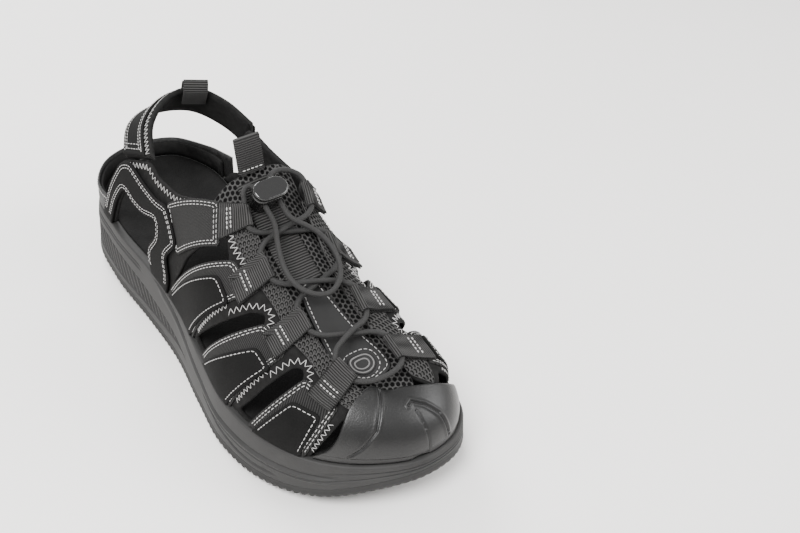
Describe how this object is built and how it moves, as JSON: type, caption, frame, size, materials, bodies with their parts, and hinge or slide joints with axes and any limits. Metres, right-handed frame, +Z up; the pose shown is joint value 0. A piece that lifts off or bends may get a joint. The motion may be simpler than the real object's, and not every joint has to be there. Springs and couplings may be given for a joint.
{
  "type": "sport sandal",
  "caption": "Closed-toe strappy sport sandal, right foot: moulded sole, rubber toe cap, stitched straps, elastic bungee lacing with a cord lock and a heel strap.",
  "frame": {"origin": "centre of the sandal's footprint at the lowest point of the tread, centred in X and Y on the bounding box", "axes": "+X toward the inner (medial) side of the foot, +Y toward the heel, +Z up; the sandal stands on its tread"},
  "size_m": [0.1112, 0.3002, 0.1379],
  "materials": {
    "rubber": "matt black rubber",
    "eva_foam": "matt moulded foam, dark grey",
    "footbed_fabric": "fine knit cover, black",
    "board": "stiff fibre board, grey",
    "shank_steel": "plain steel strip",
    "nubuck": "dark grey nubuck with grey-white stitching",
    "webbing": "ribbed woven webbing, dark grey",
    "elastic": "ribbed elastic, black",
    "leather_strip": "smooth dark leather",
    "bungee_cord": "round braided elastic cord, black",
    "lock_plastic": "glossy black",
    "spring_steel": "plain spring wire",
    "foam": "soft open foam",
    "counter_skin": "textured black synthetic",
    "smooth_lining": "smooth black lining",
    "ribbed_textile": "ribbed textile, dark grey",
    "mesh": "open mesh, black",
    "neoprene": "soft brushed lining, black"
  },
  "bodies": {
    "sandal": {"footbed": "footbed_fabric", "heel_counter": "counter_skin", "heel_lining": "smooth_lining", "heel_strap_foam": "foam", "heel_strap_lining": "neoprene", "heel_strap_outer": "nubuck", "heel_tab_anchor": "webbing", "heel_wedge": "eva_foam", "lace_cord": "bungee_cord", "lace_end_loop": "bungee_cord", "lasting_board": "board", "lateral_eyestay": "neoprene", "lateral_gore": "elastic", "lateral_lace_loop_1": "webbing", "lateral_lace_loop_2": "webbing", "lateral_lace_loop_3": "webbing", "lateral_lace_loop_4": "webbing", "lateral_quarter": "nubuck", "lateral_quarter_lining": "neoprene", "lateral_strap_base_1": "ribbed_textile", "lateral_strap_base_2": "ribbed_textile", "lateral_strap_base_3": "ribbed_textile", "lateral_strap_lining_1": "neoprene", "lateral_strap_lining_2": "neoprene", "lateral_strap_lining_3": "neoprene", "lateral_strap_overlay_1": "nubuck", "lateral_strap_overlay_2": "nubuck", "lateral_strap_overlay_3": "nubuck", "medial_eyestay": "neoprene", "medial_lace_loop_1": "webbing", "medial_lace_loop_2": "webbing", "medial_lace_loop_3": "webbing", "medial_lace_loop_4": "webbing", "medial_quarter": "nubuck", "medial_quarter_lining": "neoprene", "medial_strap_base_1": "ribbed_textile", "medial_strap_base_2": "ribbed_textile", "medial_strap_base_3": "ribbed_textile", "medial_strap_lining_1": "neoprene", "medial_strap_lining_2": "neoprene", "medial_strap_lining_3": "neoprene", "medial_strap_overlay_1": "nubuck", "medial_strap_overlay_2": "nubuck", "medial_strap_overlay_3": "nubuck", "midsole": "eva_foam", "outsole": "rubber", "shank": "shank_steel", "toe_cap": "rubber", "tongue": "mesh", "tongue_badge": "leather_strip", "tongue_strip": "leather_strip", "tongue_webbing": "webbing", "tread_pods": "rubber"},
    "cord_lock": {"cord_lock_body": "lock_plastic", "cord_lock_spring": "spring_steel"},
    "lock_button": {"cord_lock_button": "lock_plastic"},
    "heel_tab": {"heel_pull_tab": "webbing"},
    "tongue_loop": {"tongue_pull_loop": "webbing"}
  },
  "joints": [
    {"name": "cord_lock_slide", "type": "slide", "parent": "sandal", "child": "cord_lock", "axis": [0, -0.8713, -0.4907], "range_m": [0, 0.006]},
    {"name": "lock_button_press", "type": "slide", "parent": "cord_lock", "child": "lock_button", "axis": [0, 0.4907, -0.8713], "range_m": [0, 0.0014], "stiffness_N_per_m": 400, "deforming": ["cord_lock_spring"]},
    {"name": "heel_tab_hinge", "type": "hinge", "parent": "sandal", "child": "heel_tab", "pos_m": [0.02573, 0.09882, 0.11384], "axis": [-0.9143, 0.3908, 0.1062], "range_deg": [0, 100]},
    {"name": "tongue_loop_hinge", "type": "hinge", "parent": "sandal", "child": "tongue_loop", "pos_m": [0.00426, -0.00042, 0.11811], "axis": [1, 0, 0], "range_deg": [-30, 35]}
  ]
}
